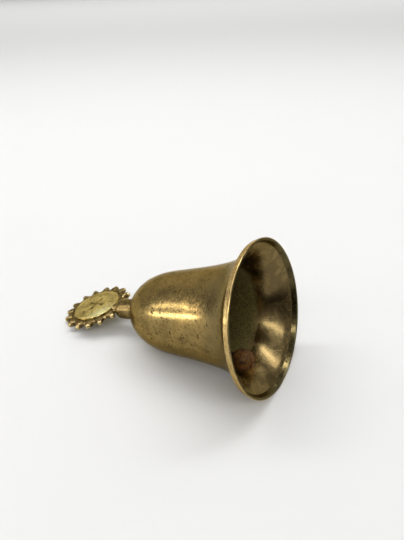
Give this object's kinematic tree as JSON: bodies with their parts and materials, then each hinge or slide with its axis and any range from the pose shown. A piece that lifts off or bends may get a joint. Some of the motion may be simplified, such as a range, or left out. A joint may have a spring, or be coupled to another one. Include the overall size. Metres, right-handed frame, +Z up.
{
  "type": "sanctus bell",
  "caption": "Small cast-brass altar bell lying on its side, with a flared lip, a turned collar, a flat sunburst handle with engraved round plates, and an iron clapper.",
  "frame": {"origin": "on the supporting surface, at the middle of the bell's bounding box as it lies on its side", "axes": "+X is horizontal, below the bell's own axis and towards the mouth, which points 15.5 degrees above it; +Z is up; the bell is alike to both sides along Y"},
  "size_m": [0.1448, 0.08, 0.0771],
  "materials": {
    "bell_brass": "cast and turned, dark olive-brown patina, polished where handled",
    "handle_brass": "cast, brown patina in the hollows, bright tips",
    "plate_brass": "rubbed yellow brass with shallow engraving",
    "dark_iron": "forged, dark, lightly rusted",
    "rusty_iron": "forged, reddish-brown rust"
  },
  "bodies": {
    "bell": {"bell_body": "bell_brass", "neck_collar": "handle_brass", "sunburst_casting": "handle_brass", "front_plate": "plate_brass", "back_plate": "plate_brass", "clapper_eyebolt": "dark_iron", "crown_washer": "dark_iron", "crown_nut": "dark_iron"},
    "clapper": {"clapper_rod": "rusty_iron", "clapper_ball": "rusty_iron"}
  },
  "joints": [
    {"name": "clapper_swing", "type": "hinge", "parent": "bell", "child": "clapper", "pos_m": [-0.00483, 0, 0.02006], "axis": [-0.1895, -0.7071, 0.6813], "range_deg": [0, 41.1]}
  ]
}
